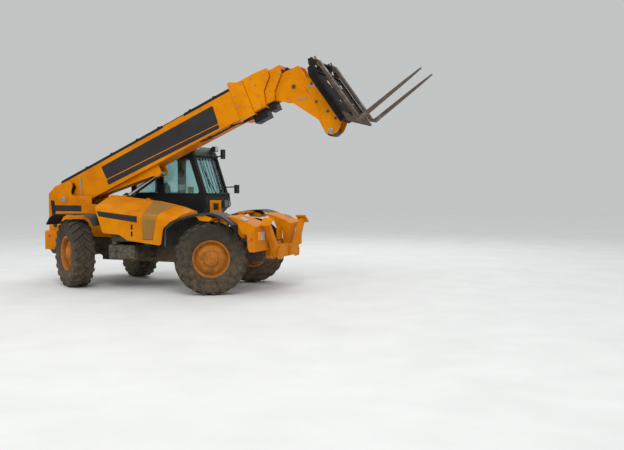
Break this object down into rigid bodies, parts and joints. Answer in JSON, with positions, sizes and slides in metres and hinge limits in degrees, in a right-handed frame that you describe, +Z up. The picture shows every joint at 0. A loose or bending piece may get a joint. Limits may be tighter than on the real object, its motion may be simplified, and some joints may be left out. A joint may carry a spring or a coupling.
{
  "type": "telescopic handler",
  "caption": "Telescopic handler with a side cab, a telescoping boom, pallet forks on a tilting carriage, steered wheels and front stabilisers.",
  "frame": {"origin": "on the ground under the middle of the machine's overall length, on the centre line between the wheels", "axes": "+X forward towards the forks, +Y to the machine's left (the cab's side), +Z up"},
  "size_m": [7.6558, 2.859, 3.9963],
  "materials": {
    "body_yellow": "satin, dusty",
    "boom_yellow": "satin",
    "black_metal": "satin black",
    "frame_black": "black with dried mud",
    "black_plastic": "matte",
    "guard_plastic": "dusty grey",
    "tyre_rubber": "dusty",
    "rim_yellow": "worn",
    "glass": "tinted",
    "fork_steel": "worn, rusty brown",
    "rod_chrome": "polished",
    "cast": "painted dark",
    "seat_fabric": "matte"
  },
  "bodies": {
    "chassis": {"chassis_frame": "frame_black", "boom_tower": "body_yellow", "counterweight": "cast", "tow_hitch": "cast", "front_axle": "frame_black", "rear_axle": "frame_black", "engine_block": "cast", "side_tank": "black_metal", "cab_shell": "black_metal", "cab_glass": "glass", "windscreen_guard": "black_metal", "operator_seat": "seat_fabric", "steering_column": "black_plastic", "dash_console": "black_plastic", "front_mudguards": "guard_plastic", "rear_mudguards": "guard_plastic", "front_wings": "body_yellow", "stabiliser_beam": "body_yellow", "work_lamps": "black_plastic", "mirrors": "black_plastic"},
    "door": {"cab_door": "black_metal", "door_glass": "glass"},
    "bonnet": {"engine_cover": "body_yellow"},
    "boom": {"boom_outer": "boom_yellow", "hose_tray": "black_metal"},
    "section_one": {"boom_mid_one": "boom_yellow"},
    "section_two": {"boom_mid_two": "boom_yellow"},
    "section_three": {"boom_inner": "boom_yellow", "boom_nose": "boom_yellow"},
    "carriage": {"quick_hitch": "boom_yellow", "fork_frame": "black_metal", "forks": "fork_steel"},
    "lift_barrel": {"lift_ram_barrel": "black_metal"},
    "lift_rod": {"lift_ram_rod": "rod_chrome"},
    "tilt_barrel": {"tilt_ram_barrel": "black_metal"},
    "tilt_rod": {"tilt_ram_rod": "rod_chrome"},
    "leg_right": {"stabiliser_leg_right": "body_yellow"},
    "leg_left": {"stabiliser_leg_left": "body_yellow"},
    "steer_front_right": {"knuckle_front_right": "frame_black"},
    "wheel_front_right": {"tyre_front_right": "tyre_rubber", "rim_front_right": "rim_yellow"},
    "steer_front_left": {"knuckle_front_left": "frame_black"},
    "wheel_front_left": {"tyre_front_left": "tyre_rubber", "rim_front_left": "rim_yellow"},
    "steer_rear_right": {"knuckle_rear_right": "frame_black"},
    "wheel_rear_right": {"tyre_rear_right": "tyre_rubber", "rim_rear_right": "rim_yellow"},
    "steer_rear_left": {"knuckle_rear_left": "frame_black"},
    "wheel_rear_left": {"tyre_rear_left": "tyre_rubber", "rim_rear_left": "rim_yellow"}
  },
  "joints": [
    {"name": "steer_front_right", "type": "hinge", "parent": "chassis", "child": "steer_front_right", "pos_m": [0.20206, -0.82, 0.62785], "axis": [0, 0, 1], "range_deg": [-65, 5]},
    {"name": "roll_front_right", "type": "hinge", "parent": "steer_front_right", "child": "wheel_front_right", "pos_m": [0.26706, -0.93258, 0.62785], "axis": [-0.5, 0.866, 0], "continuous": true},
    {"name": "steer_front_left", "type": "hinge", "parent": "chassis", "child": "steer_front_left", "pos_m": [0.20206, 0.82, 0.62785], "axis": [0, 0, 1], "range_deg": [-65, 5]},
    {"name": "roll_front_left", "type": "hinge", "parent": "steer_front_left", "child": "wheel_front_left", "pos_m": [0.13706, 0.93258, 0.62785], "axis": [-0.5, 0.866, 0], "continuous": true},
    {"name": "steer_rear_right", "type": "hinge", "parent": "chassis", "child": "steer_rear_right", "pos_m": [-2.54794, -0.82, 0.62785], "axis": [0, 0, 1], "range_deg": [-2, 68]},
    {"name": "roll_rear_right", "type": "hinge", "parent": "steer_rear_right", "child": "wheel_rear_right", "pos_m": [-2.61875, -0.92903, 0.62785], "axis": [0.5446, 0.8387, 0], "continuous": true},
    {"name": "steer_rear_left", "type": "hinge", "parent": "chassis", "child": "steer_rear_left", "pos_m": [-2.54794, 0.82, 0.62785], "axis": [0, 0, 1], "range_deg": [-2, 68]},
    {"name": "roll_rear_left", "type": "hinge", "parent": "steer_rear_left", "child": "wheel_rear_left", "pos_m": [-2.47714, 0.92903, 0.62785], "axis": [0.5446, 0.8387, 0], "continuous": true},
    {"name": "cab_door_hinge", "type": "hinge", "parent": "chassis", "child": "door", "pos_m": [-1.55594, 1.135, 1.69285], "axis": [0, 0, 1], "range_deg": [0, 85]},
    {"name": "engine_cover_hinge", "type": "hinge", "parent": "chassis", "child": "bonnet", "pos_m": [-1.89794, -0.42, 1.68885], "axis": [-0.9942, 0, 0.1076], "range_deg": [0, 55]},
    {"name": "boom_lift", "type": "hinge", "parent": "chassis", "child": "boom", "pos_m": [-3.30894, -0.08, 1.61185], "axis": [0, -1, 0], "range_deg": [-26.8, 42.2]},
    {"name": "telescope_one", "type": "slide", "parent": "boom", "child": "section_one", "axis": [0.915, 0, 0.4035], "range_m": [0, 2.3]},
    {"name": "telescope_two", "type": "slide", "parent": "section_one", "child": "section_two", "axis": [0.915, 0, 0.4035], "range_m": [0, 2.3]},
    {"name": "telescope_three", "type": "slide", "parent": "section_two", "child": "section_three", "axis": [0.915, 0, 0.4035], "range_m": [0, 2.3]},
    {"name": "carriage_tilt", "type": "hinge", "parent": "section_three", "child": "carriage", "pos_m": [2.20679, -0.08, 2.80955], "axis": [0, 1, 0], "range_deg": [-3, 100]},
    {"name": "lift_ram_swing", "type": "hinge", "parent": "chassis", "child": "lift_barrel", "pos_m": [-3.22794, -0.08, 0.93285], "axis": [0, -1, 0], "range_deg": [-22.97, 36.17]},
    {"name": "lift_ram_slide", "type": "slide", "parent": "lift_barrel", "child": "lift_rod", "axis": [0.856, 0, 0.517], "range_m": [-0.26376, 0.41532]},
    {"name": "tilt_ram_swing", "type": "hinge", "parent": "section_three", "child": "tilt_barrel", "pos_m": [1.51105, -0.08, 3.58908], "axis": [0, -1, 0], "range_deg": [-0.38, 12.58]},
    {"name": "tilt_ram_slide", "type": "slide", "parent": "tilt_barrel", "child": "tilt_rod", "axis": [0.6954, 0, -0.7187], "range_m": [-0.01216, 0.40521]},
    {"name": "stabiliser_right", "type": "hinge", "parent": "chassis", "child": "leg_right", "pos_m": [1.25706, -0.4, 0.71285], "axis": [1, 0, 0], "range_deg": [0, 127]},
    {"name": "stabiliser_left", "type": "hinge", "parent": "chassis", "child": "leg_left", "pos_m": [1.25706, 0.4, 0.71285], "axis": [-1, 0, 0], "range_deg": [0, 127]}
  ],
  "couplings": [
    {"joint": "steer_front_left", "follows": "steer_front_right", "ratio": 1},
    {"joint": "steer_rear_left", "follows": "steer_rear_right", "ratio": 1},
    {"joint": "telescope_two", "follows": "telescope_one", "ratio": 1},
    {"joint": "telescope_three", "follows": "telescope_one", "ratio": 1},
    {"joint": "lift_ram_swing", "follows": "boom_lift", "ratio": 0.85708},
    {"joint": "lift_ram_slide", "follows": "boom_lift", "m_per_rad": 0.56388},
    {"joint": "tilt_ram_swing", "follows": "carriage_tilt", "ratio": 0.12577},
    {"joint": "tilt_ram_slide", "follows": "carriage_tilt", "m_per_rad": 0.23217}
  ]
}
